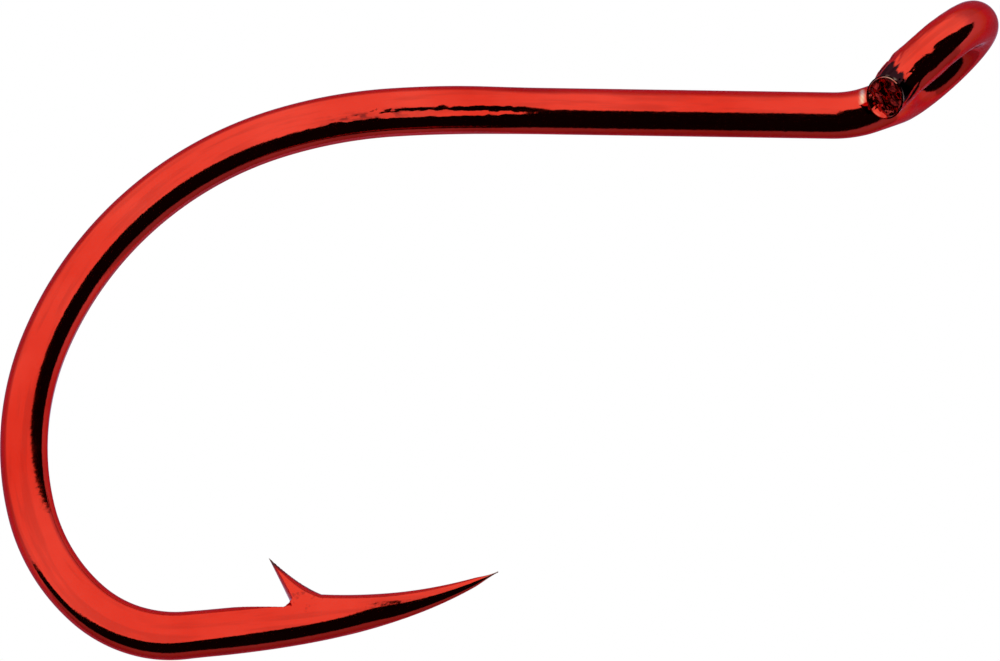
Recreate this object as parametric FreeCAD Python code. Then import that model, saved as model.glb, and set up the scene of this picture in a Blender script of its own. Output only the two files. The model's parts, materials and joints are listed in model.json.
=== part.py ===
"""A single up-eyed fish hook, formed from one length of round steel wire.

Frame: millimetres, +Z up. The origin is the middle of the eye. The hook's plane is XZ, with
the shank level along +X towards the eye, the bend at -X and the point below the shank. Y is
across the hook, and the forged flats of the bend face -Y and +Y.

Every solid is one stretch of the wire, and each meets the next one face to face.
"""

import FreeCAD, Part
import math
import os

Vector = FreeCAD.Vector

# Wire and forging
WIRE_DIAMETER = 1.12
FORGED_DEPTH = 1.17  # the bend's width in the hook's plane, spread by the dies
FORGED_THICKNESS = 0.98  # from flat to flat
THROAT_DEPTH = 1.12

# Eye: a ring of wire, turned up from the shank's line
EYE_TURN_UP = 42.0  # degrees
RING_RADIUS = 1.38  # to the wire's centre
RING_JOIN = 148.5  # degrees round the ring where the neck runs into it; 0 is the ring's tip
RING_CLOSE = -97.0  # degrees round the ring where the closing limb leaves it
LAND_DEPTH = 0.05  # how far the forming pin has flattened the ring's inner wall
SHANK_DROP = 1.347  # the shank's centre line, below the middle of the eye
NECK_START = -2.41  # where the shank begins to turn up
CLOSING_LENGTH = 1.98  # the closing limb, to the far edge of its sheared end
SHEAR_ANGLE = 41.0  # degrees between the sheared face's normal and the wire

# Bend: arcs of the centre line in turn, as (radius, degrees)
BEND_START = -10.69
BEND_ARCS = [(27.5, 4.8), (11.6, 13.7), (8.9, 50.7), (6.8, 35.2), (4.46, 34.3), (3.03, 47.6)]
BEND_NODES = ["bend_entry", "bend_upper", "bend_middle", "bend_lower", "bend_heel"]

# Throat, barb and point: distances along the throat's line from the end of the bend
NOTCH_START = 1.05  # where the barb's cut enters the wire
NOTCH_FLOOR = (2.43, 0.375)  # deepest place of the cut, and its height above the centre line
BARB_ROOT = (2.60, 0.56)  # where the cut ends, under the barb
BARB_FRONT = 3.35
SPEAR_END = 5.60
POINT_LENGTH = 7.60
# The outer edge sweeps in from the first of these, by the second times the distance squared
# and the third times its fourth power
OUTER_CURVE = (0.60, 0.01745, 0.000218)
INNER_CURVE = (4.95, 0.56, 11.5)  # lowest place of the inner edge, its height, and its radius
BARB_TIP = (2.17, 1.70)
BARB_HOLLOW = (2.78, 1.07)  # a place on the barb's hollow front edge
BARB_SINK = 0.25  # the barb's foot reaches this far below its root, down the wire's round side
BARB_FOOT_THICKNESS = 0.84
BARB_TIP_THICKNESS = 0.12
POINT_END_DEPTH = 0.05
POINT_SPANS = 3  # the spear and the tip are each lofted in this many spans

RADIUS = WIRE_DIAMETER / 2
HALF_FLAT = FORGED_THICKNESS / 2
FLAT_TOLERANCE = 1e-3  # a face that is crowned by less than this is flat
# The rim of the section ends, and its flat begins, at this angle from the hook's plane
CORNER = math.asin(FORGED_THICKNESS / FORGED_DEPTH)

ACROSS = Vector(0, 1, 0)
TURN = math.radians(EYE_TURN_UP)
EYE_LENGTHWISE = Vector(math.cos(TURN), 0, math.sin(TURN))
EYE_AXIS = Vector(-math.sin(TURN), 0, math.cos(TURN))


def in_plane(angle):
    """A unit vector in the hook's plane, at an angle in radians from +X towards +Z."""
    return Vector(math.cos(angle), 0, math.sin(angle))


# ---- wire sections ----

def section(centre, side, half_depth, half_thickness):
    """A closed wire of four edges: two round rims, and two faces that are flat where forged.

    side is the unit vector across the wire, in the hook's plane.
    """
    corner_side = half_depth * math.cos(CORNER)
    corner_up = min(half_thickness, half_depth * math.sin(CORNER))

    def place(along_side, up):
        return centre + side * along_side + ACROSS * up

    def face(up, crown):
        start = place(corner_side, up)
        end = place(-corner_side, up)
        if abs(crown) - abs(up) < FLAT_TOLERANCE:
            return Part.LineSegment(start, end)
        return Part.Arc(start, place(0, crown), end)

    def rim(reach, start_side, up):
        return Part.Arc(place(start_side, -up), place(reach, 0), place(start_side, up))

    edges = [
        rim(half_depth, corner_side, corner_up),
        face(corner_up, half_thickness),
        rim(-half_depth, -corner_side, -corner_up),
        face(-corner_up, -half_thickness),
    ]
    return Part.Wire(Part.__sortEdges__([edge.toShape() for edge in edges]))


def round_face(centre, direction):
    return Part.Face(Part.Wire(Part.makeCircle(RADIUS, centre, direction)))


# ---- tubes ----

def arc_through(start, direction, end):
    """The arc that leaves start along direction and reaches end: its middle, axis and sweep."""
    chord = end - start
    offset = chord - direction * chord.dot(direction)
    offset.normalize()
    half_sweep = direction.getAngle(chord)
    middle = start + offset * (chord.Length / (2 * math.sin(half_sweep)))
    return middle, direction.cross(offset), math.degrees(2 * half_sweep)


def round_tube_arc(start, direction, end):
    middle, axis, sweep = arc_through(start, direction, end)
    return round_face(start, direction).revolve(middle, axis, sweep)


def biarc_joint(start, start_direction, end, end_direction):
    """The place where two equal-legged arcs meet smoothly between two directed points."""
    span = end - start
    both = start_direction + end_direction
    a = 2 * (1 - start_direction.dot(end_direction))
    b = 2 * span.dot(both)
    leg = (-b + math.sqrt(b * b + 4 * a * span.dot(span))) / (2 * a)
    return (start + start_direction * leg + end - end_direction * leg) * 0.5


# ---- eye ----

def ring_place(degrees):
    angle = math.radians(degrees)
    return (EYE_LENGTHWISE * math.cos(angle) + ACROSS * math.sin(angle)) * RING_RADIUS


def ring_direction(degrees):
    """The wire's direction round the ring, from the neck towards its free end."""
    angle = math.radians(degrees)
    return EYE_LENGTHWISE * math.sin(angle) - ACROSS * math.cos(angle)


def forming_pin():
    radius = RING_RADIUS - RADIUS + LAND_DEPTH
    return Part.makeCylinder(radius, 4 * RADIUS, EYE_AXIS * (-2 * RADIUS), EYE_AXIS)


def eye_ring():
    start = round_face(ring_place(RING_JOIN), ring_direction(RING_JOIN))
    ring = start.revolve(Vector(0, 0, 0), EYE_AXIS * -1, RING_JOIN - RING_CLOSE)
    return ring.cut(forming_pin())


def eye_closing_end():
    """The ring's free end, which runs back beside the neck and is sheared off at a slant."""
    start = ring_place(RING_CLOSE)
    direction = ring_direction(RING_CLOSE)
    limb = Part.makeCylinder(RADIUS, CLOSING_LENGTH, start, direction)
    outward = ACROSS * -1
    outward = outward - direction * outward.dot(direction)
    outward.normalize()
    slant = math.radians(SHEAR_ANGLE)
    normal = direction * math.cos(slant) + outward * math.sin(slant)
    middle = start + direction * (CLOSING_LENGTH - RADIUS * math.tan(slant))
    size = 4 * WIRE_DIAMETER
    waste = Part.makeBox(size, size, size, Vector(-size / 2, -size / 2, 0))
    waste.Placement = FreeCAD.Placement(middle, FreeCAD.Rotation(Vector(0, 0, 1), normal))
    return limb.cut(waste).cut(forming_pin())


def neck_pieces():
    """Two arcs that turn the shank's line up, and across to one side of the ring."""
    start = Vector(NECK_START, 0, -SHANK_DROP)
    along = Vector(1, 0, 0)
    end = ring_place(RING_JOIN)
    end_direction = ring_direction(RING_JOIN)
    joint = biarc_joint(start, along, end, end_direction)
    lower = round_tube_arc(start, along, joint)
    upper = round_tube_arc(end, end_direction * -1, joint)
    return {"neck": lower, "eye_root": upper.cut(forming_pin())}


# ---- shank and bend ----

def bend_stations():
    """Each arc of the bend, as (start, heading in radians, radius, sweep in radians)."""
    stations = []
    place = Vector(BEND_START, 0, -SHANK_DROP)
    heading = math.pi
    for radius, degrees in BEND_ARCS:
        sweep = math.radians(degrees)
        stations.append((place, heading, radius, sweep))
        middle = place + in_plane(heading + math.pi / 2) * radius
        heading += sweep
        place = middle - in_plane(heading + math.pi / 2) * radius
    stations.append((place, heading, None, None))
    return stations


def shank():
    length = NECK_START - BEND_START
    return Part.makeCylinder(RADIUS, length, Vector(BEND_START, 0, -SHANK_DROP), Vector(1, 0, 0))


def forged_shoulder(station):
    """The round wire runs out into the forged section over the bend's first, slack arc."""
    place, heading, radius, sweep = station
    middle = place + in_plane(heading + math.pi / 2) * radius
    wires = []
    for share in (0, 0.5, 1):
        side = in_plane(heading + share * sweep + math.pi / 2)
        half_depth = RADIUS + share * (FORGED_DEPTH / 2 - RADIUS)
        half_thickness = RADIUS + share * (HALF_FLAT - RADIUS)
        wires.append(section(middle - side * radius, side, half_depth, half_thickness))
    return Part.makeLoft(wires, True, False)


def forged_arc(station):
    place, heading, radius, sweep = station
    side = in_plane(heading + math.pi / 2)
    profile = Part.Face(section(place, side, FORGED_DEPTH / 2, HALF_FLAT))
    return profile.revolve(place + side * radius, ACROSS * -1, math.degrees(sweep))


# ---- throat, barb and point ----

def outer_edge(along):
    """The wire's outer edge, as an offset from the throat's centre line."""
    start, square, fourth = OUTER_CURVE
    reach = max(0.0, along - start)
    return -THROAT_DEPTH / 2 + square * reach ** 2 + fourth * reach ** 4


def hollow_edge(along):
    """The point's inner edge, a shallow hollow in front of the barb."""
    lowest, height, radius = INNER_CURVE
    reach = along - lowest
    return height + radius - math.sqrt(radius * radius - reach * reach)


def inner_edge(along):
    """The inner edge: the wire's side, then the barb's cut and foot, then the point's hollow."""
    corners = [
        (0.0, THROAT_DEPTH / 2),
        (NOTCH_START, THROAT_DEPTH / 2),
        NOTCH_FLOOR,
        BARB_ROOT,
        (BARB_FRONT, hollow_edge(BARB_FRONT)),
    ]
    for (start, low), (end, high) in zip(corners, corners[1:]):
        if along <= end:
            return low + (high - low) * (along - start) / (end - start)
    return hollow_edge(along)


class PointFrame:
    """Places and sections along the throat's line, which starts at the end of the bend."""

    def __init__(self, station):
        self.origin = station[0]
        self.along = in_plane(station[1])
        self.side = in_plane(station[1] + math.pi / 2)

    def place(self, along, offset, across=0.0):
        return self.origin + self.along * along + self.side * offset + ACROSS * across

    def wire(self, along):
        middle = (outer_edge(along) + inner_edge(along)) / 2
        half_depth = (inner_edge(along) - outer_edge(along)) / 2
        if along >= POINT_LENGTH:
            half_depth = POINT_END_DEPTH / 2
        half_thickness = min(HALF_FLAT, half_depth)
        return section(self.place(along, middle), self.side, half_depth, half_thickness)

    def loft(self, stations, ruled):
        return Part.makeLoft([self.wire(s) for s in stations], True, ruled)


def throat(frame):
    start = section(frame.place(0, 0), frame.side, FORGED_DEPTH / 2, HALF_FLAT)
    return Part.makeLoft([start, frame.wire(NOTCH_START)], True, True)


def barb_seat(frame):
    """The wire under the barb, thinned from its inner side up to the barb's root."""
    return frame.loft([NOTCH_START, NOTCH_FLOOR[0], BARB_ROOT[0], BARB_FRONT], True)


def evenly(start, end):
    step = (end - start) / POINT_SPANS
    return [start + step * i for i in range(POINT_SPANS)] + [end]


def point_spear(frame):
    return frame.loft(evenly(BARB_FRONT, SPEAR_END), False)


def point_tip(frame):
    return frame.loft(evenly(SPEAR_END, POINT_LENGTH), False)


def barb_blade(frame):
    """The barb's outline, as deep as the wire is thick, with its foot sunk into the wire."""
    foot = BARB_ROOT[1] - BARB_SINK
    root = frame.place(*BARB_ROOT)
    tip = frame.place(*BARB_TIP)
    front = frame.place(BARB_FRONT, inner_edge(BARB_FRONT))
    front_foot = frame.place(BARB_FRONT, foot)
    root_foot = frame.place(BARB_ROOT[0], foot)
    outline = [
        Part.LineSegment(root, tip),
        Part.Arc(tip, frame.place(*BARB_HOLLOW), front),
        Part.LineSegment(front, front_foot),
        Part.LineSegment(front_foot, root_foot),
        Part.LineSegment(root_foot, root),
    ]
    blade = Part.Face(Part.Wire([edge.toShape() for edge in outline]))
    blade.translate(ACROSS * -RADIUS)
    return blade.extrude(ACROSS * WIRE_DIAMETER)


def barb_taper(frame):
    """A wedge that is as thick as the barb at its foot and at its tip."""
    corners = [
        (BARB_ROOT[1] - BARB_SINK, -BARB_FOOT_THICKNESS / 2),
        (BARB_TIP[1], -BARB_TIP_THICKNESS / 2),
        (BARB_TIP[1], BARB_TIP_THICKNESS / 2),
        (BARB_ROOT[1] - BARB_SINK, BARB_FOOT_THICKNESS / 2),
    ]
    outline = [frame.place(0, offset, across) for offset, across in corners]
    return Part.Face(Part.makePolygon(outline + outline[:1])).extrude(frame.along * POINT_LENGTH)


def barb(frame, seat):
    """A fin sliced up from the wire, leaning back over the throat and thinning to its tip."""
    return barb_blade(frame).common(barb_taper(frame)).cut(seat)


# ---- the whole hook ----

def build():
    stations = bend_stations()
    parts = {"eye_ring": eye_ring(), "eye_closing_end": eye_closing_end()}
    parts.update(neck_pieces())
    parts["shank"] = shank()
    parts["forged_shoulder"] = forged_shoulder(stations[0])
    for name, station in zip(BEND_NODES, stations[1:]):
        parts[name] = forged_arc(station)
    frame = PointFrame(stations[-1])
    parts["throat"] = throat(frame)
    parts["barb_seat"] = barb_seat(frame)
    parts["barb"] = barb(frame, parts["barb_seat"])
    parts["point_spear"] = point_spear(frame)
    parts["point_tip"] = point_tip(frame)
    return parts


def main():
    os.makedirs("parts", exist_ok=True)
    for name, shape in build().items():
        solids = shape.Solids
        if len(solids) != 1 or not solids[0].isValid():
            raise ValueError(f"{name} is not one valid solid")
        solids[0].exportStep(f"parts/{name}.step")
        print(f"{name}: {solids[0].Volume:.4f} mm3")


main()
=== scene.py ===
"""The looks of a red lacquered fish hook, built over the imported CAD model.

Every CAD node is one stretch of the same wire. The whole wire is made here as one fine grid of
rings, from the sheared end of the eye to the tip of the point, and then cut at the CAD nodes' ends,
so that the reflections run across the joins. The barb is a fin of its own.

Sizes are in millimetres and angles in degrees, except where a name says otherwise.
"""

import json
import math

import bpy
import numpy as np
from mathutils import Matrix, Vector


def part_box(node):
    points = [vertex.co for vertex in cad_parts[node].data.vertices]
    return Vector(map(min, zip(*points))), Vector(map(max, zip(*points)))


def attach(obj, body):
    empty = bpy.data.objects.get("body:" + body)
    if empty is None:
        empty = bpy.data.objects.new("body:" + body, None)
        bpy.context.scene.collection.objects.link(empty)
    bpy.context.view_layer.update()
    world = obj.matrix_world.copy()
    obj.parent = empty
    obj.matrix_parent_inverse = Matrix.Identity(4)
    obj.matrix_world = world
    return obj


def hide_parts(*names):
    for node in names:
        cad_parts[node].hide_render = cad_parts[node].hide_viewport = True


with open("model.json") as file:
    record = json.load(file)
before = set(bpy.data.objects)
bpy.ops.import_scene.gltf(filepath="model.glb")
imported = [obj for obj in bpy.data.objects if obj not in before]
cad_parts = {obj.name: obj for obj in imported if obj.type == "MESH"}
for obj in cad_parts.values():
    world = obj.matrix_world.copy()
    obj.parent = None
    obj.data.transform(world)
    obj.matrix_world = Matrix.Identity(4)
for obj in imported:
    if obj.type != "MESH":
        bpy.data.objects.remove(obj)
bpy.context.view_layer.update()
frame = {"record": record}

MM = 0.001

# ---- the frame's own measures ----

SHANK_LOW, SHANK_HIGH = (np.array(corner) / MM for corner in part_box("shank"))
WIRE_RADIUS = (SHANK_HIGH[2] - SHANK_LOW[2]) / 2
SHANK_DROP = -(SHANK_HIGH[2] + SHANK_LOW[2]) / 2
BEND_START = SHANK_LOW[0]
NECK_START = SHANK_HIGH[0]
EYE = frame["record"]["mounts"][0]
EYE_AXIS = np.array(EYE["axis"])
HOLE_RADIUS = EYE["dims"]["r_mm"]

# ---- the eye ----

LAND_DEPTH = 0.05  # how far the forming pin has pressed into the inside of the ring
RING_RADIUS = HOLE_RADIUS - LAND_DEPTH + WIRE_RADIUS
RING_JOIN = 148.5  # where the neck joins the ring
RING_CLOSE = -97.0  # where the ring ends and the straight closing end begins
CLOSING_LENGTH = 1.98
SHEAR_ANGLE = 41.0
END_TAPER = (1.25, 0.10, 0.09)  # how far back the closing end is squeezed, by how much, and how far down

# ---- the forged bend, as (radius, degrees) for each node ----

BEND_ARCS = [(27.5, 4.8), (11.6, 13.7), (8.9, 50.7), (6.8, 35.2), (4.46, 34.3), (3.03, 47.6)]
BEND_NODES = ["forged_shoulder", "bend_entry", "bend_upper", "bend_middle", "bend_lower", "bend_heel"]
FORGED_HALF_DEPTH = 0.585
FORGED_HALF_THICKNESS = 0.49
THROAT_HALF_DEPTH = 0.56
FORGING_START = -1.3  # where the flats begin, along the wire from the start of the bend
FORGING_FULL = 1.2
# Widths of the rounded rims beside the flats: (place along the wire, inner rim, outer rim)
RIMS = [(0, 0.46, 0.36), (5, 0.44, 0.32), (10.5, 0.46, 0.30), (13, 0.49, 0.30), (15.2, 0.51, 0.30),
        (18, 0.42, 0.30), (22.5, 0.28, 0.34), (24, 0.27, 0.39), (26, 0.26, 0.39), (30, 0.25, 0.36)]

# ---- the throat, barb and point: distances along the throat's line ----

NOTCH_START = 1.05
NOTCH_FLOOR = (2.43, 0.375)
BARB_ROOT = (2.60, 0.56)
BARB_FRONT = 3.35
SPEAR_END = 5.60
POINT_LENGTH = 7.60
OUTER_CURVE = (0.60, 0.01745, 0.000218)  # where the outside starts to rise, and how fast
INNER_CURVE = (4.95, 0.56, 11.5)
POINT_END_DEPTH = 0.03
BARB_TIP = (2.17, 1.70)
POINT_THINNED = (3.35, 5.2)  # where the flats thin down until the spear is round
THINNING_POWER = 1.5
POINT_TAPER = (7.0, 0.6)  # where the tip's last taper starts, and the share it takes off
THROAT_BLEND = -1.0  # where the bend's depth starts to change to the throat's
RIM_LIMIT = 0.97  # the widest rim, as a share of the section's half depth

# ---- fineness of the meshes ----

AROUND = 128  # points round each ring of the wire
STEP = 0.05
FLAT_SHARE = 35.0  # degrees of the ring's parameter on each side of a flat's middle

ACROSS = np.array([0.0, 1.0, 0.0])


def unit(v):
    return v / np.linalg.norm(v, axis=-1, keepdims=True)


def in_plane(angle):
    """A unit vector in the hook's plane, at an angle in radians from +X towards +Z."""
    return np.array([math.cos(angle), 0.0, math.sin(angle)])


def smooth(x, low, high):
    """Ease from 0 at low to 1 at high."""
    t = np.clip((x - low) / (high - low), 0, 1)
    return t * t * (3 - 2 * t)


def present(x, span):
    """1 in the middle of a span and 0 outside it. A span is (start, full, fading, gone)."""
    start, full, fading, gone = span
    return smooth(x, start, full) * (1 - smooth(x, fading, gone))


def bell(x, middle, half_width):
    return np.exp(-((x - middle) / half_width) ** 2)


# ---- noise ----

def value_noise(u, v, seed):
    """Smooth noise from 0 to 1 over a lattice of unit cells."""
    size = 64
    lattice = np.random.default_rng(seed).random((size, size))
    u0, v0 = np.floor(u).astype(int), np.floor(v).astype(int)
    fu, fv = u - u0, v - v0
    fu, fv = fu * fu * (3 - 2 * fu), fv * fv * (3 - 2 * fv)

    def at(du, dv):
        return lattice[(u0 + du) % size, (v0 + dv) % size]

    low = at(0, 0) * (1 - fu) + at(1, 0) * fu
    high = at(0, 1) * (1 - fu) + at(1, 1) * fu
    return low * (1 - fv) + high * fv


def layered_noise(u, v, seed, layers=3):
    """Smooth noise from 0 to 1 with finer and fainter layers over it."""
    total, weight = 0.0, 0.0
    for k in range(layers):
        total = total + value_noise(u * 2 ** k, v * 2 ** k, seed + k) / 2 ** k
        weight += 1 / 2 ** k
    return total / weight


# ---- the wire's centre line ----

def counted(length):
    """How many points a run of this length gets."""
    return max(2, int(round(length / STEP)) + 1)


def arc_points(start, direction, end):
    """Points of the arc that leaves start along direction and reaches end."""
    chord = end - start
    reach = np.linalg.norm(chord)
    inward = unit(chord - direction * chord.dot(direction))
    sweep = 2 * math.acos(chord.dot(direction) / reach)
    radius = reach / (2 * math.sin(sweep / 2))
    angles = np.linspace(0, sweep, counted(radius * sweep))[:, None]
    return start + inward * radius * (1 - np.cos(angles)) + direction * radius * np.sin(angles)


def biarc_joint(start, start_direction, end, end_direction):
    """Where two arcs meet that join two places and keep the direction at each."""
    span = end - start
    a = 2 * (1 - start_direction.dot(end_direction))
    b = 2 * span.dot(start_direction + end_direction)
    leg = (-b + math.sqrt(b * b + 4 * a * span.dot(span))) / (2 * a)
    return (start + start_direction * leg + end - end_direction * leg) / 2


def eye_lengthwise():
    return unit(np.cross(ACROSS, EYE_AXIS))


def ring_place(degrees):
    """A place on the eye's ring, as an angle from its far end."""
    angle = np.radians(degrees)
    lengthwise = np.multiply.outer(np.cos(angle), eye_lengthwise())
    return RING_RADIUS * (lengthwise + np.multiply.outer(np.sin(angle), ACROSS))


def ring_direction(degrees):
    """The wire's direction there, towards its closing end."""
    angle = math.radians(degrees)
    return eye_lengthwise() * math.sin(angle) - ACROSS * math.cos(angle)


def eye_runs():
    """The centre line from the sheared end to the shank, as a list of (node, points)."""
    start = np.array([NECK_START, 0, -SHANK_DROP])
    along = np.array([1.0, 0, 0])
    end, end_direction = ring_place(RING_JOIN), ring_direction(RING_JOIN)
    joint = biarc_joint(start, along, end, end_direction)
    neck = arc_points(start, along, joint)
    root = arc_points(end, -end_direction, joint)
    sweep = RING_JOIN - RING_CLOSE
    ring = ring_place(np.linspace(RING_CLOSE, RING_JOIN, counted(RING_RADIUS * math.radians(sweep))))
    steps = np.linspace(CLOSING_LENGTH, 0, counted(CLOSING_LENGTH))[:, None]
    limb = ring_place(RING_CLOSE) + ring_direction(RING_CLOSE) * steps
    return [("eye_closing_end", limb), ("eye_ring", ring), ("eye_root", root), ("neck", neck[::-1])]


def bend_runs():
    """The centre line from the shank to the point, as a list of (node, points)."""
    shank = np.linspace([NECK_START, 0, -SHANK_DROP], [BEND_START, 0, -SHANK_DROP],
                        counted(NECK_START - BEND_START))
    runs = [("shank", shank)]
    place, heading = shank[-1], math.pi
    for node, (radius, degrees) in zip(BEND_NODES, BEND_ARCS):
        sweep = math.radians(degrees)
        middle = place + in_plane(heading + math.pi / 2) * radius
        angles = heading + np.linspace(0, sweep, counted(radius * sweep))
        points = np.array([middle - in_plane(a + math.pi / 2) * radius for a in angles])
        runs.append((node, points))
        place, heading = points[-1], heading + sweep
    ends = [("throat", 0, NOTCH_START), ("barb_seat", NOTCH_START, BARB_FRONT),
            ("point_spear", BARB_FRONT, SPEAR_END), ("point_tip", SPEAR_END, POINT_LENGTH)]
    for node, low, high in ends:
        reach = np.linspace(low, high, counted(high - low))[:, None]
        runs.append((node, place + in_plane(heading) * reach))
    return runs, place, heading


class Wire:
    """The centre line as one list of stations, and each node's stretch of it."""

    def __init__(self):
        forward, self.throat_start, self.throat_heading = bend_runs()
        runs = eye_runs() + forward
        points, self.stretches = [runs[0][1][0]], {}
        for node, run in runs:
            first = len(points) - 1
            points.extend(run[1:])
            self.stretches[node] = (first, len(points) - 1)
        self.centre = np.array(points)
        self.tangent = unit(np.gradient(self.centre, axis=0))
        steps = np.linalg.norm(np.diff(self.centre, axis=0), axis=1)
        length = np.concatenate([[0], np.cumsum(steps)])
        self.past_bend_start = length - length[self.stretches["forged_shoulder"][0]]
        self.past_throat_start = length - length[self.stretches["throat"][0]]
        self.side = self.carried_sides()
        self.across = np.cross(self.side, self.tangent)

    def carried_sides(self):
        """The direction across the wire: in the hook's plane at the bend, and carried on into the eye."""
        sides = np.cross(self.tangent, ACROSS)
        for i in range(self.stretches["shank"][0], -1, -1):
            carried = sides[i + 1]
            sides[i] = carried - self.tangent[i] * carried.dot(self.tangent[i])
        return unit(sides)


# ---- sections ----

def ring_parameter():
    return np.radians(np.arange(AROUND) * 360 / AROUND)


def round_section(radius):
    angle = ring_parameter()
    return np.stack([radius * np.cos(angle), radius * np.sin(angle)], axis=-1)


def forged_section(inner, outer, inner_rim, outer_rim, half_thickness):
    """Flats at the top and bottom between two rounded rims. All arguments may be arrays of stations.

    inner and outer are how far the section reaches along the side and against it.
    """
    angle = np.degrees(ring_parameter())
    fold = (angle + 90) % 180 - 90  # 0 at a rim's middle
    inward = np.cos(np.radians(angle)) >= 0
    rim_limit = 90 - FLAT_SHARE
    turn = np.radians(np.clip(fold / rim_limit, -1, 1) * 90)
    across_sign = np.where(np.sin(np.radians(angle)) >= 0, 1, -1)
    # Along a flat, this goes from 0 at the flat's middle to 1 at its end
    flat = np.clip((90 - np.abs(fold)) / FLAT_SHARE, 0, 1)
    inner, outer, inner_rim, outer_rim, half_thickness = (
        np.asarray(x, float)[..., None] for x in (inner, outer, inner_rim, outer_rim, half_thickness))
    reach = np.where(inward, inner, -outer)
    rim = np.where(inward, inner_rim, -outer_rim)
    flat_end = reach - rim
    middle = (inner - inner_rim - outer + outer_rim) / 2
    on_flat = middle + (flat_end - middle) * flat
    side = np.where(flat < 1, on_flat, flat_end + rim * np.cos(turn))
    up = half_thickness * np.where(flat < 1, across_sign, np.abs(np.sin(turn)) * across_sign)
    return np.stack(np.broadcast_arrays(side, up), axis=-1)


def outer_edge(along):
    """The throat's and point's outside, as a height over the throat's line."""
    start, square, fourth = OUTER_CURVE
    reach = np.maximum(0.0, along - start)
    return -THROAT_HALF_DEPTH + square * reach ** 2 + fourth * reach ** 4


def hollow_edge(along):
    """The inside of the point, in front of the barb, which is slightly hollow."""
    lowest, height, radius = INNER_CURVE
    return height + radius - np.sqrt(radius * radius - (along - lowest) ** 2)


def inner_edge(along):
    """The inside from the throat through the barb's cut to the point."""
    corners = [(0, THROAT_HALF_DEPTH), (NOTCH_START, THROAT_HALF_DEPTH), NOTCH_FLOOR, BARB_ROOT,
               (BARB_FRONT, hollow_edge(BARB_FRONT))]
    xs, ys = zip(*corners)
    return np.where(along <= BARB_FRONT, np.interp(along, xs, ys), hollow_edge(along))


def section_reach(along, before_spear):
    """How far the forged section reaches to the inside and to the outside of the line."""
    throat_share = smooth(along, THROAT_BLEND, OUTER_CURVE[0])
    depth = FORGED_HALF_DEPTH + (THROAT_HALF_DEPTH - FORGED_HALF_DEPTH) * throat_share
    inner = np.where(before_spear, depth, inner_edge(np.maximum(along, 0)))
    outer = np.where(along < OUTER_CURVE[0], depth, -outer_edge(np.maximum(along, 0)))
    return inner, outer


def tapered(half, along):
    """The section's half depth, drawn down at the very tip."""
    start, share = POINT_TAPER
    half = half * (1 - share * smooth(along, start, POINT_LENGTH))
    return np.where(along > POINT_LENGTH - STEP / 2, POINT_END_DEPTH / 2, half)


def half_thickness(half, along):
    """The flats' half distance, which shrinks along the spear until its section is round."""
    start, end = POINT_THINNED
    round_share = np.clip((along - start) / (end - start), 0, 1) ** THINNING_POWER
    round_half = np.minimum(half, FORGED_HALF_THICKNESS)
    return FORGED_HALF_THICKNESS + (round_half - FORGED_HALF_THICKNESS) * round_share


def wire_sections(wire):
    """Each station's section, as (side, across) offsets."""
    bend, along = wire.past_bend_start, wire.past_throat_start
    before_spear = along < BARB_FRONT - STEP / 2
    inner, outer = section_reach(along, before_spear)
    half = tapered((inner + outer) / 2, along)
    places, inner_rims, outer_rims = np.array(RIMS).T
    inner_rim = np.minimum(np.interp(bend, places, inner_rims), RIM_LIMIT * half)
    outer_rim = np.minimum(np.interp(bend, places, outer_rims), RIM_LIMIT * half)
    forged = forged_section(half, half, inner_rim, outer_rim, half_thickness(half, along))
    forged[..., 0] += ((inner - outer) / 2)[:, None]
    cut = np.where(before_spear, inner_edge(np.maximum(along, 0)), np.inf)
    forged[..., 0] = np.minimum(forged[..., 0], cut[:, None])
    share = smooth(bend, FORGING_START, FORGING_FULL)[:, None, None]
    return round_section(WIRE_RADIUS) * (1 - share) + forged * share


# ---- relief on the wire ----

CREASE_SPAN = (-1.7, -0.4, 1.2, 3.9)  # the dies' crease, past the start of the bend
CREASE_LINE = 0.13  # how far it lies to the inner side of the centre line
CREASE_WANDER = 0.05
CREASE_RAGGED = 0.04
CREASE_DEPTH = 0.030
CREASE_HALF_WIDTH = 0.075
MOTTLE_SPAN = (0.3, 2.0, 3.6, 5.2)  # the pitted skin that the crease runs out into
MOTTLE_DEPTH = 0.020
MOTTLE_HALF_WIDTH = 0.13
SCRATCH_SPAN = (BARB_FRONT, BARB_FRONT + 0.8, 6.2, POINT_LENGTH)  # along the throat's line
SCRATCH_SIDE = (-0.10, 0.20)  # they fade out between these, going to the inner side
SCRATCH_DEPTH = 0.006
WRINKLE_SPAN = (0.0, 0.2, 2.9, 4.2)  # the wrinkles of the closed eye, from the sheared end
WRINKLE_DEPTH = 0.020
WRINKLE_NEAR_END = (2.2, 0.6, 1.6)  # how much deeper they are at the end, and where that fades


def crease_relief(wire, side):
    """A ragged crease along the near flat, just inside its middle."""
    bend = wire.past_bend_start[:, None]
    wander = layered_noise(bend * 1.7, 0.0, 11) - 0.5
    ragged = layered_noise(bend * 9, 3.0, 17) - 0.5
    line = CREASE_LINE + CREASE_WANDER * wander + CREASE_RAGGED * ragged
    width = CREASE_HALF_WIDTH * (0.7 + 0.9 * layered_noise(bend * 5, 7.0, 23))
    strength = present(bend, CREASE_SPAN) * (0.6 + 0.8 * layered_noise(bend * 6, 5.0, 29))
    groove = CREASE_DEPTH * strength * bell(side, line, width)
    mottled = present(bend, MOTTLE_SPAN) * bell(side, line, MOTTLE_HALF_WIDTH)
    pits = layered_noise(bend * 5, side * 13 + 9, 31) - 0.5
    return MOTTLE_DEPTH * mottled * pits - groove


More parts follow.
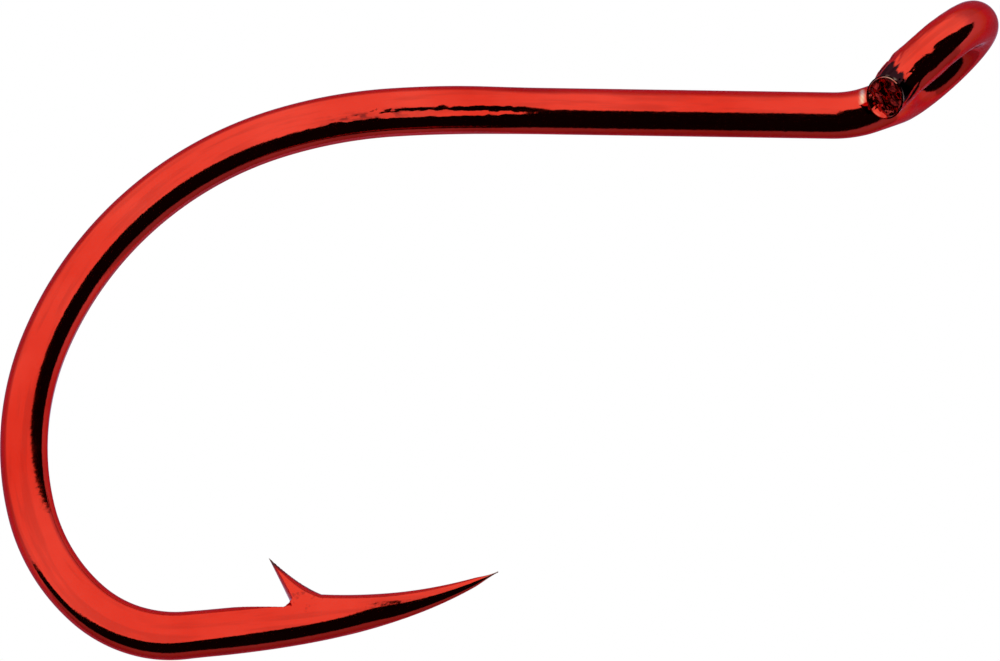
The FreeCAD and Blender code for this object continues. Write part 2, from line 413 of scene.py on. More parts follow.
def grinding_relief(wire, side, angle):
    """Long fine scratches down the outer side of the ground point."""
    along = wire.past_throat_start[:, None]
    strength = present(along, SCRATCH_SPAN) * (1 - smooth(side, *SCRATCH_SIDE))
    scratches = layered_noise(along * 1.1 + 40, angle * 6 + 11, 53, 4) - 0.5
    return SCRATCH_DEPTH * strength * scratches * 2


def eye_wrinkles(wire, angle):
    """Ragged wrinkles where the ring was closed, on the near limb's lower side."""
    past_end = np.arange(len(wire.centre))[:, None] * STEP
    on_eye = past_end <= wire.stretches["eye_ring"][1] * STEP
    strength = present(past_end, WRINKLE_SPAN) * on_eye
    lower_side = bell(np.cos(angle / 2), 0.0, 0.9)
    noise = layered_noise(past_end * 1.3 + angle * 0.8 + 5, angle * 2.6 - past_end * 0.6, 61, 4)
    folded = np.abs(noise - 0.5) * 2
    extra, fading, gone = WRINKLE_NEAR_END
    near_end = 1 + extra * (1 - smooth(past_end, fading, gone))
    return WRINKLE_DEPTH * near_end * strength * (folded - 0.3) * (0.35 + lower_side)


def grid_of(wire):
    """The wire's surface as rings of points, in millimetres."""
    sections = wire_sections(wire)
    side = sections[..., 0]
    angle = ring_parameter()[None, :]
    sections[..., 1] -= np.where(sections[..., 1] < 0, crease_relief(wire, side), 0)
    radial = grinding_relief(wire, side, angle) + eye_wrinkles(wire, angle)
    reach = np.maximum(np.linalg.norm(sections, axis=-1), 0.05)
    sections *= 1 + (radial / reach)[..., None]
    sideways, crossways = wire.side[:, None, :], wire.across[:, None, :]
    return wire.centre[:, None, :] + sideways * sections[..., :1] + crossways * sections[..., 1:]


def pressed_by_pin(points):
    """The forming pin has flattened a land round the inside of the eye."""
    height = points @ EYE_AXIS
    flat = points - height[..., None] * EYE_AXIS
    reach = np.linalg.norm(flat, axis=-1)
    pushed = np.maximum(reach, HOLE_RADIUS) / np.maximum(reach, 1e-9)
    return flat * pushed[..., None] + height[..., None] * EYE_AXIS


def squeezed(points, wire):
    """The closing end, drawn down to a slightly narrower end that leans towards the shank."""
    back, narrowing, drop = END_TAPER
    first, last = wire.stretches["eye_closing_end"]
    stations = np.arange(first, last + 1)[:, None, None] - first
    share = 1 - smooth(stations * STEP, 0.0, back)
    centre = wire.centre[first:last + 1, None, :]
    return centre + (points - centre) * (1 - narrowing * share) - EYE_AXIS * drop * share


def shear_plane():
    """The sheared face's middle, its normal, and the closing limb's direction."""
    direction = ring_direction(RING_CLOSE)
    outward = unit(-ACROSS - direction * (-ACROSS).dot(direction))
    slant = math.radians(SHEAR_ANGLE)
    normal = direction * math.cos(slant) + outward * math.sin(slant)
    middle = ring_place(RING_CLOSE) + direction * (CLOSING_LENGTH - WIRE_RADIUS * math.tan(slant))
    return middle, normal, direction


def sheared(points):
    """The closing limb's rings, spaced between the ring eye and the slanted face of the shear."""
    middle, normal, direction = shear_plane()
    start = ring_place(RING_CLOSE)
    reach = (points - start) @ direction
    room = ((middle - points) @ normal) / direction.dot(normal) + reach
    share = reach / CLOSING_LENGTH
    return points + direction * (share * room - reach)[..., None]


# The sheared face's planes, as (slope one way, slope the other way, height)
FACETS = [(0.16, 0.05, 0.00), (-0.14, 0.12, 0.01), (0.03, -0.22, 0.00), (-0.05, 0.30, -0.05),
          (0.26, -0.16, -0.05), (-0.28, -0.10, -0.05)]
DENTS = [(0.30, 0.14, -0.02), (-0.12, -0.30, -0.03), (-0.24, 0.26, -0.04)]
FACET_SHARE = 0.4
GRAIN_DEPTH = 0.012
TORN_DEPTH = 0.06
TURNED_FROM = -0.10  # the face is turned down below this place
TURNED_CURVE = 0.9
FACE_RINGS = 30
FACE_RIM = (0.80, 0.90)  # where the relief starts to fade, and where the rim starts to round over
FACE_RIM_DROP = 0.03


def highest(planes, u, v):
    """The height of the uppermost plane at each place."""
    return np.max([a * u + b * v + c for a, b, c in planes], axis=0)


def torn_relief(u, v):
    """The torn relief of the sheared face: ridges between facets, turned down at its lower left."""
    grain = layered_noise(u * 5 + 20, v * 5 + 20, 41) - 0.5
    torn = layered_noise(u * 3 + 8, v * 3 + 4, 47, 2) - 0.5
    ragged = layered_noise(u * 9 + 20, v * 9 + 20, 43, 2) - 0.5
    turned = np.minimum(v - TURNED_FROM + 0.5 * torn + 0.30 * ragged, 0) ** 2
    facets = FACET_SHARE * (highest(FACETS, u, v) - highest(DENTS, u, v))
    return facets + GRAIN_DEPTH * grain + TORN_DEPTH * torn - TURNED_CURVE * turned


def shear_face(rim):
    """Rings from the middle of the sheared face out to its rim."""
    middle, normal, _ = shear_plane()
    u_axis = unit(np.cross(normal, ACROSS))
    v_axis = np.cross(normal, u_axis)
    shares = np.linspace(0.02, 1.0, FACE_RINGS)[:-1]
    rings = middle + (rim - middle) * shares[:, None, None]
    u, v = (rings - middle) @ u_axis, (rings - middle) @ v_axis
    fading, rounding = FACE_RIM
    held = 1 - smooth(shares, fading, 1.0)[:, None]
    drop = FACE_RIM_DROP * smooth(shares, rounding, 1.0)[:, None]
    lift = torn_relief(u, v) * (0.25 + 0.75 * held) - drop
    return rings + normal * lift[..., None]


# ---- where the lacquer is thick or worn, and where shade and highlights are painted on, as numbers from 0 to 1 ----

TIP_WORN = 0.45  # length of the point's end where the lacquer is thin
RIM_WORN_AND_HIGHLIGHT = 0.07  # width of the bare rim round the sheared end, partly worn and partly a painted highlight
NECK_HIGHLIGHT_BAND = (0.72, 0.045)  # where the painted highlight lies on the neck, past the shank, and its half width
NECK_HIGHLIGHT_PAST_NECK = 4  # rings beyond the neck that the band may reach
NECK_HIGHLIGHT_FACING = (0.05, 0.3, 0.75, 0.95)  # the span of upward facing that gets the painted highlight
SHADE_TONGUES_END = 1.6  # how far the painted shade of the dark tongues reaches from the sheared end
SHADE_BLOTCH_SPAN = (1.4, 2.4, 3.4, 4.6)  # painted shade in dark blotches where the crease fades
SHADE_BLOTCH_HALF_WIDTH = 0.10
NEAR_FLAT = -0.7  # the Y of a normal on the near flat is below this
SPECKLED = (0.35, 0.6)
# How dark or how bare each place gets; the blotches are painted shade and the rim partly a painted
# highlight
TIP_DARK, SHADE_BLOTCH_DARK, STREAK_DARK = 0.8, 0.55, 0.16
TIP_BARE, RIM_BARE_AND_HIGHLIGHT = 0.5, 0.55
FACE_PAINTED_SHADE = (0.25, 0.5)  # painted shade on the sheared face: the least, and what the speckle adds


def painted_neck_highlight(wire, points, normals):
    """A painted highlight: a pale band over the near, upward facing side of the neck."""
    place, half_width = NECK_HIGHLIGHT_BAND
    first, last = wire.stretches["neck"]
    ring = np.arange(len(points))
    on_neck = (ring >= first) & (ring <= last + NECK_HIGHLIGHT_PAST_NECK)
    facing = present(normals[..., 2], NECK_HIGHLIGHT_FACING) * (normals[..., 1] < 0)
    return bell(points[..., 0], NECK_START + place, half_width) * facing * on_neck[:, None]


def painted_shade_tongues(stations, normals):
    """Painted shade: ragged dark tongues that run up the near side of the near limb from its sheared end.
    """
    angle = ring_parameter()[None, :]
    noise = layered_noise(angle * 2.6 + stations * 0.4 + 3, stations * 0.8, 97, 4)
    shade_tongues = smooth(noise - 0.42 * (stations - 0.55), 0.46, 0.54)
    return shade_tongues * (stations < SHADE_TONGUES_END) * (1 - smooth(normals[..., 1], -0.55, -0.35))


def crease_shade_blotches(wire, side, normals):
    """Painted shade: dark blotches along the near flat where the crease fades out."""
    bend = wire.past_bend_start[:, None]
    beside = bell(side, CREASE_LINE, SHADE_BLOTCH_HALF_WIDTH) * (normals[..., 1] < NEAR_FLAT)
    noise = layered_noise(bend * 6, side * 14 + 5, 101)
    return present(bend, SHADE_BLOTCH_SPAN) * beside * smooth(noise, 0.42, 0.66)


def wire_masks(wire, points, normals):
    """Where the wire's lacquer has pooled or worn away, and where shade and a highlight are painted on."""
    along = wire.past_throat_start[:, None]
    stations = np.arange(len(points))[:, None] * STEP
    side = np.sum((points - wire.centre[:, None, :]) * wire.side[:, None, :], axis=-1)
    speckle = layered_noise(stations * 9, np.arange(AROUND)[None, :] / 5, 71)
    tip = smooth(along, POINT_LENGTH - TIP_WORN, POINT_LENGTH)
    # Bare rim round the sheared end: partly wear, partly a painted highlight
    rim = (1 - smooth(stations, 0.0, RIM_WORN_AND_HIGHLIGHT)) * smooth(speckle, *SPECKLED)
    # Painted highlight: the pale band on the neck
    neck_highlight = painted_neck_highlight(wire, points, normals) * (0.8 + 0.2 * speckle)
    streaks = smooth(layered_noise(stations * 0.7 + 11, side * 9 + 30, 107, 4), 0.45, 0.75)
    # Painted shade: the dark tongues on the near limb and the dark blotches by the crease
    shade_tongues, shade_blotches = painted_shade_tongues(stations, normals), crease_shade_blotches(wire, side, normals)
    # Darker at the tip and in faint streaks, plus the painted shade of the tongues and blotches
    pooled = TIP_DARK * tip + shade_tongues + SHADE_BLOTCH_DARK * shade_blotches + STREAK_DARK * streaks
    # Worn bare at the tip, plus the partly painted highlight of the rim and the painted highlight on the
    # neck
    worn = TIP_BARE * tip * speckle + RIM_BARE_AND_HIGHLIGHT * rim + neck_highlight
    return {"pooled": np.clip(pooled, 0, 1), "worn": np.clip(worn, 0, 1)}


def face_masks(face):
    """Painted shade over the sheared face, and its bare rim, which is partly worn and partly a painted
    highlight.
    """
    ring = np.arange(len(face))[:, None]
    speckle = layered_noise(ring / 3, np.arange(AROUND) / 6.0, 83)
    edge = smooth(np.linspace(0, 1, len(face)), 0.90, 1.0)[:, None]
    least, added = FACE_PAINTED_SHADE
    # Painted shade over the face, and a bare rim that is partly a painted highlight
    return {"pooled": least + added * smooth(speckle, 0.4, 0.7),
            "worn": RIM_BARE_AND_HIGHLIGHT * edge * smooth(speckle, *SPECKLED)}


# ---- meshes ----

def grid_normals(points, centre):
    """The outward normal at each point of a grid of rings."""
    along = np.gradient(points, axis=0)
    around = np.roll(points, -1, axis=1) - np.roll(points, 1, axis=1)
    normal = np.cross(along, around)
    normal /= np.maximum(np.linalg.norm(normal, axis=-1, keepdims=True), 1e-12)
    outward = np.sum(normal * (points - centre), axis=(-1, -2)) >= 0
    return np.where(outward[:, None, None], normal, -normal)


def paint(mesh, masks):
    """Where the lacquer has pooled or worn away, and where shade and highlights are painted on, as numbers
    from 0 to 1 on the mesh's points.
    """
    for name, values in masks.items():
        values = np.concatenate([values.reshape(-1), np.zeros(len(mesh.vertices) - values.size)])
        mesh.attributes.new(name, "FLOAT", "POINT").data.foreach_set("value", values.astype(np.float32))


def new_object(name, mesh, material):
    obj = bpy.data.objects.new(name, mesh)
    bpy.context.scene.collection.objects.link(obj)
    mesh.materials.append(material)
    return obj


def solid_of_rings(name, rings, normals, masks, material):
    """A closed mesh of rings with a fan at each end. The normals come from the whole wire."""
    count, around = rings.shape[:2]
    ends = np.array([rings[0].mean(axis=0), rings[-1].mean(axis=0)])
    vertices = np.concatenate([rings.reshape(-1, 3), ends]) * MM
    i, j = np.meshgrid(np.arange(count - 1), np.arange(around), indexing="ij")
    k = (j + 1) % around
    quads = np.stack([i * around + j, i * around + k, (i + 1) * around + k, (i + 1) * around + j], axis=-1)
    quads = quads.reshape(-1, 4)
    j = np.arange(around)
    k = (j + 1) % around
    last = (count - 1) * around
    first_centre = np.full(around, count * around)
    start_fan = np.stack([first_centre, k, j], axis=-1)
    end_fan = np.stack([first_centre + 1, last + j, last + k], axis=-1)
    vertex_normals = normals.reshape(-1, 3)
    a, b, c = (vertices[quads[0, n]] for n in range(3))
    flipped = np.cross(b - a, c - a).dot(vertex_normals[quads[0, 0]]) < 0
    if flipped:
        quads, start_fan, end_fan = quads[:, ::-1], start_fan[:, ::-1], end_fan[:, ::-1]
    mesh = bpy.data.meshes.new(name)
    mesh.from_pydata(vertices.tolist(), [], quads.tolist() + start_fan.tolist() + end_fan.tolist())
    outward = [unit(rings[0].mean(axis=0) - rings[1].mean(axis=0)),
               unit(rings[-1].mean(axis=0) - rings[-2].mean(axis=0))]
    loops = [vertex_normals[quads.reshape(-1)]]
    loops += [np.tile(direction, (3 * around, 1)) for direction in outward]
    mesh.normals_split_custom_set(np.concatenate(loops))
    paint(mesh, masks)
    mesh.validate()
    return new_object(name, mesh, material)


# ---- the barb ----

def bezier(points, count):
    t = np.linspace(0, 1, count)[:, None]
    a, b, c = (np.array(p) for p in points)
    return a * (1 - t) ** 2 + 2 * b * t * (1 - t) + c * t * t


BARB_BACK = [BARB_TIP, (2.44, 1.02), (2.61, 0.56)]
BARB_EDGE = [BARB_TIP, (2.80, 0.95), (BARB_FRONT, 0.672)]
BARB_FOOT = 0.20
BARB_ROWS = (16, 56)  # rows of points below the spear's edge and above it
BARB_COLUMNS = 40
BARB_CURL = (0.05, 0.50, 0.05)  # the hollow at the foot of its back: depth, height and half width
BARB_RIM = 0.25
BARB_RIM_THINNED = 0.55
BARB_BACK_RIM = 0.05
BARB_TIP_HALF = 0.02
BARB_PROUD = 0.0005  # how far its foot stands out of the flats
THINNEST_RIM = 0.04  # as a share of the full thickness
BARB_THINNING = (0.45, BARB_TIP[1] + 0.5)  # the heights over which it thins
BARB_RIM_NARROWING = (0.7, 1.4)
BARB_BACK_ROUNDED = (0.45, 0.60)
ROW_CURVE_POINTS = 60
EDGE_CURVE_POINTS = 90
SPEAR_EDGE = (4.5, 40)  # where its front edge ends along the spear, and the points on that stretch
EDGE_SHADE_WIDTH = (0.06, 0.07)  # painted shade along its front edge: least width, and what noise adds
BARB_TIP_WORN = (0.35, 0.05)  # from its tip, where the lacquer starts to thin, and where it is thinnest
DENT_SHADE_FADE = (0.7, 1.0)  # the heights over which the painted shade of dents at its foot dies out


def barb_rows():
    """Heights up the barb with the places of its back and front edges."""
    back, front = bezier(BARB_BACK, ROW_CURVE_POINTS), bezier(BARB_EDGE, ROW_CURVE_POINTS)
    edge_height = BARB_EDGE[-1][1]
    low, high = BARB_ROWS
    heights = np.concatenate([np.linspace(BARB_FOOT, edge_height, low),
                              np.linspace(edge_height, BARB_TIP[1], high)[1:]])
    back_at = np.interp(heights, back[::-1, 1], back[::-1, 0])
    front_at = np.interp(heights, front[::-1, 1], front[::-1, 0])
    depth, middle, half_width = BARB_CURL
    return heights, back_at - depth * bell(heights, middle, half_width), front_at


def away_from(line, x, height):
    """How far each place is from the nearest point of a line."""
    return np.sqrt((x[..., None] - line[:, 0]) ** 2 + (height[..., None] - line[:, 1]) ** 2).min(axis=-1)


def barb_half_thickness(x, height):
    """The barb thins towards its tip and is rounded over at its front edge."""
    beyond = np.linspace(BARB_FRONT, *SPEAR_EDGE)[1:]
    spear_edge = np.stack([beyond, hollow_edge(beyond)], axis=-1)
    edge = np.concatenate([bezier(BARB_EDGE, EDGE_CURVE_POINTS), spear_edge])
    rise = smooth(height, *BARB_THINNING)
    rim = BARB_RIM * (1 - BARB_RIM_THINNED * smooth(height, *BARB_RIM_NARROWING))
    full = FORGED_HALF_THICKNESS + BARB_PROUD - (FORGED_HALF_THICKNESS - BARB_TIP_HALF) * rise
    rounding = np.sqrt(1 - (1 - np.clip(away_from(edge, x, height) / rim, 0, 1)) ** 2)
    return full * np.maximum(rounding, THINNEST_RIM)


def barb_back_rounding(x, back, height):
    """The barb's back edge is rounded over by the lacquer, and square again down in the notch."""
    share = np.clip((x - back[:, None]) / BARB_BACK_RIM, 0, 1)
    rounding = np.maximum(np.sqrt(1 - (1 - share) ** 2), THINNEST_RIM)
    return rounding + (1 - rounding) * (1 - smooth(height, *BARB_BACK_ROUNDED))


def barb_mesh(wire):
    """Loops of points round the barb, from its foot to its tip."""
    heights, back, front = barb_rows()
    columns = (1 - np.cos(np.linspace(0, math.pi, BARB_COLUMNS))) / 2
    x = back[:, None] + (front - back)[:, None] * columns
    height = np.repeat(heights[:, None], len(columns), axis=1)
    half = barb_half_thickness(x, height) * barb_back_rounding(x, back, height)
    along, side = in_plane(wire.throat_heading), in_plane(wire.throat_heading + math.pi / 2)
    flat = wire.throat_start + x[..., None] * along + height[..., None] * side
    near = flat - ACROSS * half[..., None]
    far = (flat + ACROSS * half[..., None])[:, ::-1]
    return np.concatenate([near, far], axis=1)


def barb_masks(wire, loops):
    """Painted shade along the barb's front edge and in the dents at its foot, and the lacquer darker and
    worn off at its tip.
    """
    height = (loops - wire.throat_start) @ in_plane(wire.throat_heading + math.pi / 2)
    along = (loops - wire.throat_start) @ in_plane(wire.throat_heading)
    speckle = layered_noise(along * 9 + 30, height * 9 + 30, 91)
    start, full = BARB_TIP_WORN
    tip = smooth(height, BARB_TIP[1] - start, BARB_TIP[1] - full)
    least, added = EDGE_SHADE_WIDTH
    width = least + added * smooth(speckle, 0.3, 0.7)
    away = away_from(bezier(BARB_EDGE, EDGE_CURVE_POINTS), along, height)
    # Painted shade along the front edge
    edge_shade = 1 - smooth(away, 0.3 * width, width)
    # Painted shade of small dents near the foot
    dent_shade = smooth(speckle, 0.66, 0.74) * (1 - smooth(height, *DENT_SHADE_FADE)) * 0.35
    return {"pooled": np.clip(0.75 * edge_shade + 0.6 * tip + dent_shade, 0, 1), "worn": 0.25 * tip * speckle}


def barb_piece(wire, material):
    """The barb's mesh: quads between its loops, and a face at its foot and its tip."""
    loops = barb_mesh(wire)
    count, around = loops.shape[:2]
    vertices = loops.reshape(-1, 3) * MM
    faces = []
    for i in range(count - 1):
        for j in range(around):
            k = (j + 1) % around
            faces.append([i * around + j, i * around + k, (i + 1) * around + k, (i + 1) * around + j])
    faces.append(list(range(around))[::-1])
    faces.append([(count - 1) * around + j for j in range(around)])
    mesh = bpy.data.meshes.new("barb_fin")
    mesh.from_pydata(vertices.tolist(), [], faces)
    paint(mesh, barb_masks(wire, loops))
    mesh.validate()
    mesh.shade_smooth()
    mesh.set_sharp_from_angle(angle=math.radians(40))
    return new_object("barb_fin", mesh, material)


# ---- materials ----

LACQUER_DEEP = (0.72, 0.024, 0.009, 1)
LACQUER_BRIGHT = (0.86, 0.058, 0.032, 1)
# Darker lacquer, and the colour of painted shade
DARK_LACQUER_AND_PAINTED_SHADE = (0.022, 0.002, 0.005, 1)
# Bare metal, and the colour of painted highlights
BARE_METAL_AND_PAINTED_HIGHLIGHT = (0.92, 0.74, 0.50, 1)
RIM_TINT = (0.55, 0.04, 0.03, 1)  # the crimson of the lacquer seen edge-on
# Noise as (cells in a metre, detail)
CLOUDS = (300, 8)
POLISH = (4000, 5)
ORANGE_PEEL = (9000, 4)
ROUGHNESS = (0.07, 0.13)
PEEL_HEIGHT = 0.00001  # metres


def lacquer():
    """Translucent red lacquer over polished steel, a little uneven where it has run, with painted shade
    and painted highlights laid over it.
    """
    material = bpy.data.materials.new("red_lacquer_on_steel")
    material.use_nodes = True
    nodes, links = material.node_tree.nodes, material.node_tree.links
    shader = nodes["Principled BSDF"]
    shader.inputs["Metallic"].default_value = 1.0
    shader.inputs["Specular Tint"].default_value = RIM_TINT
    shader.inputs["Coat Weight"].default_value = 0.15
    shader.inputs["Coat Roughness"].default_value = 0.03
    shader.inputs["Coat IOR"].default_value = 1.5
    place = nodes.new("ShaderNodeTexCoord")

    def noise(scale, detail, low, high):
        texture = nodes.new("ShaderNodeTexNoise")
        texture.inputs["Scale"].default_value = scale
        texture.inputs["Detail"].default_value = detail
        links.new(place.outputs["Object"], texture.inputs["Vector"])
        spread = nodes.new("ShaderNodeMapRange")
        spread.inputs["From Min"].default_value = 0.3
        spread.inputs["From Max"].default_value = 0.7
        spread.inputs["To Min"].default_value = low
        spread.inputs["To Max"].default_value = high
        links.new(texture.outputs["Fac"], spread.inputs["Value"])
        return spread.outputs["Result"]

    def laid_over(under, name, over):
        """Paint one colour over another where the mesh's own mask of that name says so."""
        mask = nodes.new("ShaderNodeAttribute")
        mask.attribute_name = name
        mix = nodes.new("ShaderNodeMix")
        mix.data_type = "RGBA"
        links.new(mask.outputs["Fac"], mix.inputs["Factor"])
        links.new(under, mix.inputs["A"])
        mix.inputs["B"].default_value = over
        return mix.outputs["Result"]

    colour = nodes.new("ShaderNodeMix")
    colour.data_type = "RGBA"
    colour.inputs["A"].default_value = LACQUER_DEEP
    colour.inputs["B"].default_value = LACQUER_BRIGHT
    links.new(noise(*CLOUDS, 0, 1), colour.inputs["Factor"])
    # Darker lacquer and painted shade, then bare metal and painted highlights, laid over the red
    pooled = laid_over(colour.outputs["Result"], "pooled", DARK_LACQUER_AND_PAINTED_SHADE)
    links.new(laid_over(pooled, "worn", BARE_METAL_AND_PAINTED_HIGHLIGHT), shader.inputs["Base Color"])
    links.new(noise(*POLISH, *ROUGHNESS), shader.inputs["Roughness"])
    bump = nodes.new("ShaderNodeBump")
    bump.inputs["Strength"].default_value = 0.12
    bump.inputs["Distance"].default_value = PEEL_HEIGHT
    links.new(noise(*ORANGE_PEEL, 0, 1), bump.inputs["Height"])
    links.new(bump.outputs["Normal"], shader.inputs["Normal"])
    return material


# ---- the object ----

def shaped_eye(points, wire):
    """The rings with the closing end squeezed and sheared, and the eye's land pressed."""
    last = wire.stretches["eye_closing_end"][1]
    eye_end = wire.stretches["neck"][1]
    points[:last + 1] = sheared(squeezed(points[:last + 1], wire))
    points[:eye_end] = pressed_by_pin(points[:eye_end])
    return points


def with_sheared_face(rings, normals, masks):
    """The closing end's rings, with the rings of its sheared face before them."""
    face = shear_face(rings[0])
    rings = np.concatenate([face, rings])
    face_normals = grid_normals(rings, rings.mean(axis=(0, 1)))
    normals = np.concatenate([face_normals[:len(face) + 2], normals[2:]])
    torn = face_masks(face)
    masks = {name: np.concatenate([torn[name], mask]) for name, mask in masks.items()}
    return rings, normals, masks


def build_hook():
    wire = Wire()
    points = shaped_eye(grid_of(wire), wire)
    red = lacquer()
    normals = grid_normals(points, wire.centre[:, None, :])
    masks = wire_masks(wire, points, normals)
    pieces = []
    for node, (low, high) in wire.stretches.items():
        stretch = slice(low, high + 1)
        cut = points[stretch], normals[stretch], {name: mask[stretch] for name, mask in masks.items()}
        if node == "eye_closing_end":
            cut = with_sheared_face(*cut)
        pieces.append((solid_of_rings(node + "_skin", *cut, red), node))
    pieces.append((barb_piece(wire, red), "barb"))
    for piece, node in pieces:
        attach(piece, "root")
        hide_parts(node)


# ---- the studio ----

CAMERA_BELOW = 13.0  # how far below the hook's side it looks from
CAMERA_ROLL = 0.8864
CAMERA_TARGET = np.array([-10.303, 0, -6.776])
CAMERA_DISTANCE = 0.4  # metres, as the other measures of the studio
FRAME_WIDTH = 0.023967
FLOOR_DROP = 0.115
FLOOR_HALF_WIDTH = 3.0
LAMP_PLACE = (-0.1, -0.1, 0.6)
LAMP_WIDTH = 0.5

# What the hook reflects is pale above an edge and dark below it. The edge is the Z of a direction, and
# it changes with the direction's X and its depth, which is its Y, skewed a little.
EDGE_IN_FRONT = -0.10
EDGE_BEHIND = -0.42
EDGE_SOFTNESS = 0.03
EDGE_LEFT = (-0.68, 0.62)  # it falls to the left, as far as this, at this slope
EDGE_FAR_LEFT = (-0.70, 1.5, 0.20)  # and rises again from here, at this slope, by up to this
EDGE_RIGHT = (0.08, 3.2)  # it rises to the right from here, at this slope
EDGE_RIGHT_LIMIT = (0.45, 0.20)  # but no higher than a line of this slope from this height
DEPTH_SKEW = 0.35  # how much nearer the back is on the right
BEHIND = (0.20, 0.32)  # the depths between which the edge drops and the dark half lightens
FAR = (-0.30, 0.18)  # the depths between which the pale half dims and turns bluish
UPPER_LIGHT = (1.0, 0.58)  # in front and far
LOWER_LIGHT = (0.004, 0.30)  # in front and behind
FAR_TINT = (0.97, 0.90, 1.35, 1)


def make_camera():
    below, roll = math.radians(CAMERA_BELOW), math.radians(CAMERA_ROLL)
    forward = np.array([0, math.cos(below), math.sin(below)])
    up = np.array([0, -math.sin(below), math.cos(below)])
    right = np.array([1.0, 0, 0])
    data = bpy.data.cameras.new("camera")
    data.sensor_width = 36.0
    data.lens = data.sensor_width * CAMERA_DISTANCE / FRAME_WIDTH
    data.clip_start, data.clip_end = 0.01, 20.0
    camera = bpy.data.objects.new("camera", data)
    bpy.context.scene.collection.objects.link(camera)
    matrix = np.eye(4)
    matrix[:3, 0] = right * math.cos(roll) + up * math.sin(roll)
    matrix[:3, 1] = up * math.cos(roll) - right * math.sin(roll)
    matrix[:3, 2] = -forward
    matrix[:3, 3] = CAMERA_TARGET * MM - forward * CAMERA_DISTANCE
    camera.matrix_world = Matrix(matrix.tolist())
    bpy.context.scene.camera = camera


def make_floor():
    mesh = bpy.data.meshes.new("floor")
    half = FLOOR_HALF_WIDTH
    corners = [(-half, -half, -FLOOR_DROP), (half, -half, -FLOOR_DROP), (half, half, -FLOOR_DROP),
               (-half, half, -FLOOR_DROP)]
    mesh.from_pydata(corners, [], [(0, 1, 2, 3)])
    paper = bpy.data.materials.new("pale_paper")
    paper.use_nodes = True
    shader = paper.node_tree.nodes["Principled BSDF"]
    shader.inputs["Base Color"].default_value = (0.9, 0.9, 0.9, 1)
    shader.inputs["Roughness"].default_value = 0.9
    floor = new_object("floor", mesh, paper)
    floor.visible_glossy = False


class Maths:
    """Maths nodes added to a node tree, each as its output socket."""

    def __init__(self, tree):
        self.tree = tree

    def number(self, value):
        node = self.tree.nodes.new("ShaderNodeValue")
        node.outputs[0].default_value = value
        return node.outputs[0]

    def of(self, operation, *values):
        node = self.tree.nodes.new("ShaderNodeMath")
        node.operation = operation
        for socket, value in zip(node.inputs, values):
            if isinstance(value, (int, float)):
                socket.default_value = value
            else:
                self.tree.links.new(value, socket)
        return node.outputs[0]

    def step_up(self, value, low, high):
        node = self.tree.nodes.new("ShaderNodeMapRange")
        node.interpolation_type = "SMOOTHSTEP"
        node.inputs["From Min"].default_value = low
        node.inputs["From Max"].default_value = high
        self.tree.links.new(value, node.inputs["Value"])
        return node.outputs["Result"]

    def blend(self, share, low, high):
        rise = self.of("SUBTRACT", high, low)
        return self.of("MULTIPLY_ADD", rise, share, low)


def edge_in_front(maths, x, rightward):
    """The height of the dark half's edge over the directions in front of the hook."""
    lowest, slope = EDGE_LEFT
    left = maths.of("MULTIPLY", maths.of("MAXIMUM", maths.of("MINIMUM", x, 0.0), lowest), slope)
    start, slope, limit = EDGE_FAR_LEFT
    beyond = maths.of("MAXIMUM", maths.of("SUBTRACT", start, x), 0.0)
    far_left = maths.of("MINIMUM", maths.of("MULTIPLY", beyond, slope), limit)
    start, slope = EDGE_RIGHT
    risen = maths.of("MULTIPLY", maths.of("MAXIMUM", maths.of("SUBTRACT", x, start), 0.0), slope)
    right = maths.of("MINIMUM", risen, maths.of("MULTIPLY_ADD", rightward, *EDGE_RIGHT_LIMIT))
    return maths.of("ADD", maths.of("ADD", left, right), maths.of("ADD", far_left, EDGE_IN_FRONT))


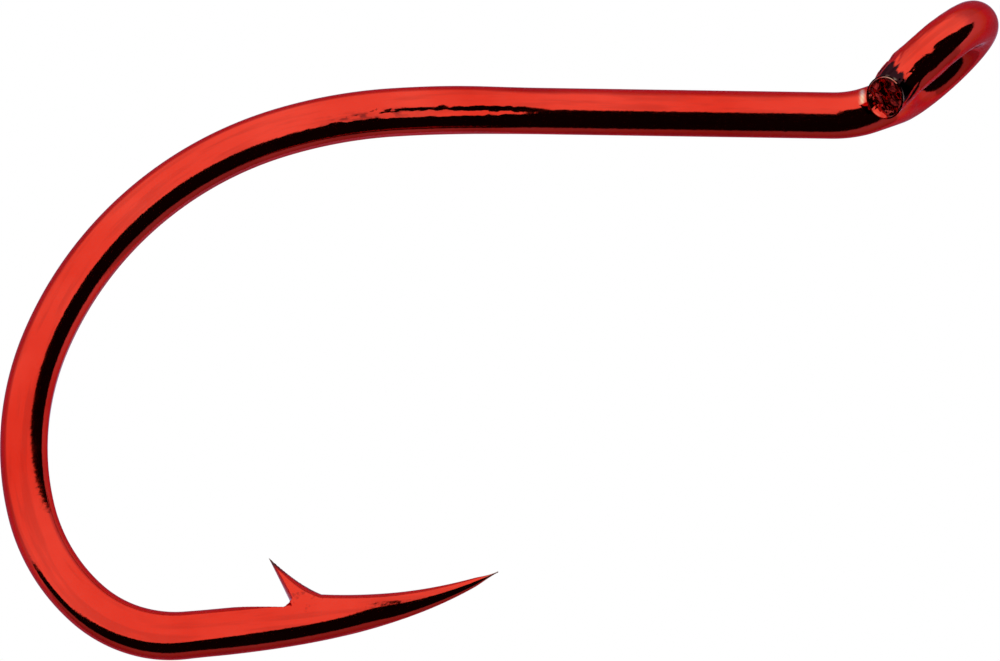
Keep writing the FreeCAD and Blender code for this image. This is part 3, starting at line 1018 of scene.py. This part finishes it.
def studio_shader(tree):
    """The studio as the hook reflects it: dark in front of it and below."""
    maths = Maths(tree)
    place = tree.nodes.new("ShaderNodeTexCoord")
    split = tree.nodes.new("ShaderNodeSeparateXYZ")
    tree.links.new(place.outputs["Generated"], split.inputs[0])
    x, y, z = split.outputs
    rightward = maths.of("MAXIMUM", x, 0.0)
    depth = maths.of("MULTIPLY_ADD", rightward, DEPTH_SKEW, y)
    behind, far = maths.step_up(depth, *BEHIND), maths.step_up(depth, *FAR)
    edge = maths.blend(behind, edge_in_front(maths, x, rightward), maths.number(EDGE_BEHIND))
    above = maths.step_up(maths.of("SUBTRACT", z, edge), -EDGE_SOFTNESS, EDGE_SOFTNESS)
    upper = maths.blend(far, *map(maths.number, UPPER_LIGHT))
    lower = maths.blend(behind, *map(maths.number, LOWER_LIGHT))
    tint = tree.nodes.new("ShaderNodeMix")
    tint.data_type = "RGBA"
    tint.inputs["A"].default_value = (1, 1, 1, 1)
    tint.inputs["B"].default_value = FAR_TINT
    tree.links.new(far, tint.inputs["Factor"])
    studio = tree.nodes.new("ShaderNodeBackground")
    tree.links.new(tint.outputs["Result"], studio.inputs["Color"])
    tree.links.new(maths.blend(above, lower, upper), studio.inputs["Strength"])
    return studio.outputs[0]


def make_world():
    """Plain pale surroundings, except in reflections."""
    world = bpy.data.worlds.new("studio")
    bpy.context.scene.world = world
    world.use_nodes = True
    world.cycles.sampling_method = "NONE"
    tree = world.node_tree
    tree.nodes.clear()
    pale = tree.nodes.new("ShaderNodeBackground")
    pale.inputs["Color"].default_value = (1, 1, 1, 1)
    pale.inputs["Strength"].default_value = 1.0
    path = tree.nodes.new("ShaderNodeLightPath")
    mix = tree.nodes.new("ShaderNodeMixShader")
    tree.links.new(path.outputs["Is Glossy Ray"], mix.inputs[0])
    tree.links.new(pale.outputs[0], mix.inputs[1])
    tree.links.new(studio_shader(tree), mix.inputs[2])
    output = tree.nodes.new("ShaderNodeOutputWorld")
    tree.links.new(mix.outputs[0], output.inputs["Surface"])


def make_lights():
    data = bpy.data.lights.new("overhead_softbox", "AREA")
    data.shape = "DISK"
    data.size = LAMP_WIDTH
    data.energy = 1.0
    lamp = bpy.data.objects.new("overhead_softbox", data)
    lamp.location = LAMP_PLACE
    lamp.visible_glossy = False
    bpy.context.scene.collection.objects.link(lamp)


bpy.context.scene.view_settings.view_transform = "Standard"
make_camera()
build_hook()
make_floor()
make_world()
make_lights()
